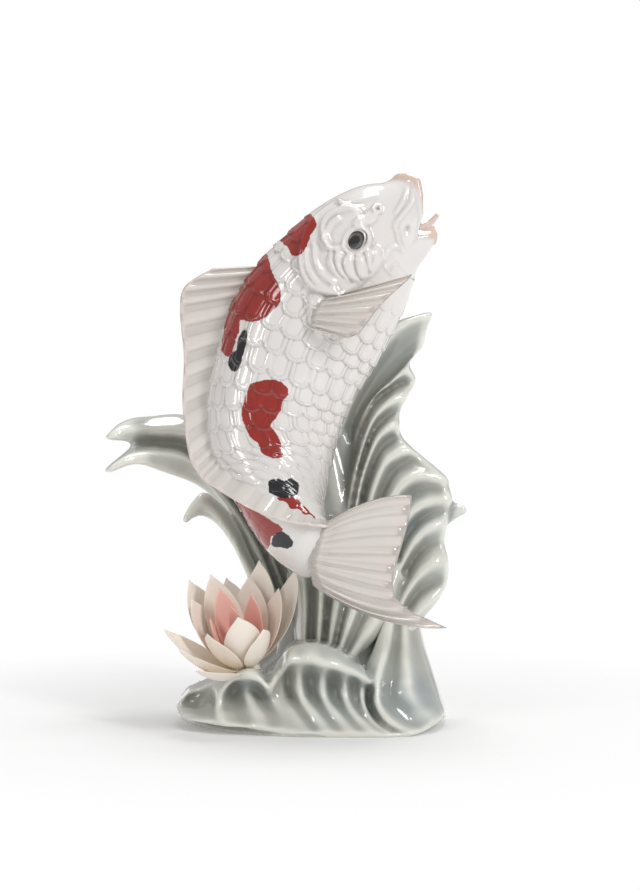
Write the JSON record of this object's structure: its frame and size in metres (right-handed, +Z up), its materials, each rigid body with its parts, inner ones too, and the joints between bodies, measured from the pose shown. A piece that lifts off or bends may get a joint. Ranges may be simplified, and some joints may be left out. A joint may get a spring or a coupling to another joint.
{
  "type": "fish figurine",
  "caption": "Glazed porcelain carp leaping from a breaking wave beside an open water lily, on one flat foot for a shelf or table.",
  "frame": {"origin": "centre of the flat underside of the foot, on the surface that the figurine stands on", "axes": "+Z up; -Y towards the viewer in front, +X to the viewer's right; the fish's mouth points up and to +X"},
  "size_m": [0.2037, 0.1471, 0.3054],
  "materials": {
    "koi_glaze": "glossy white glaze over carved scales, painted in coral red and black",
    "fin_glaze": "glossy white glaze over fine fin rays, warmed to blush at the edges",
    "blush_glaze": "glossy pale peach glaze",
    "wave_glaze": "glossy grey-green celadon glaze that pools darker in the folds",
    "petal_ivory": "matte ivory bisque, thin and slightly translucent at the edges",
    "petal_pink": "matte rose bisque that fades to ivory at the tips"
  },
  "bodies": {
    "root": {"barbel_left": "blush_glaze", "barbel_right": "blush_glaze", "dorsal_fin": "fin_glaze", "koi_body": "koi_glaze", "left_splash": "wave_glaze", "lily_petal_inner_1": "petal_pink", "lily_petal_inner_2": "petal_pink", "lily_petal_inner_3": "petal_pink", "lily_petal_inner_4": "petal_pink", "lily_petal_middle_1": "petal_ivory", "lily_petal_middle_2": "petal_ivory", "lily_petal_middle_3": "petal_ivory", "lily_petal_middle_4": "petal_ivory", "lily_petal_middle_5": "petal_ivory", "lily_petal_middle_6": "petal_ivory", "lily_petal_outer_1": "petal_ivory", "lily_petal_outer_2": "petal_ivory", "lily_petal_outer_3": "petal_ivory", "lily_petal_outer_4": "petal_ivory", "lily_petal_outer_5": "petal_ivory", "lily_petal_outer_6": "petal_ivory", "lily_petal_outer_7": "petal_ivory", "lily_petal_outer_8": "petal_ivory", "lily_receptacle": "petal_ivory", "pectoral_fin_left": "fin_glaze", "pectoral_fin_right": "fin_glaze", "rear_wave": "wave_glaze", "right_wave": "wave_glaze", "tail_fin": "fin_glaze", "wave_base": "wave_glaze"}
  },
  "joints": []
}
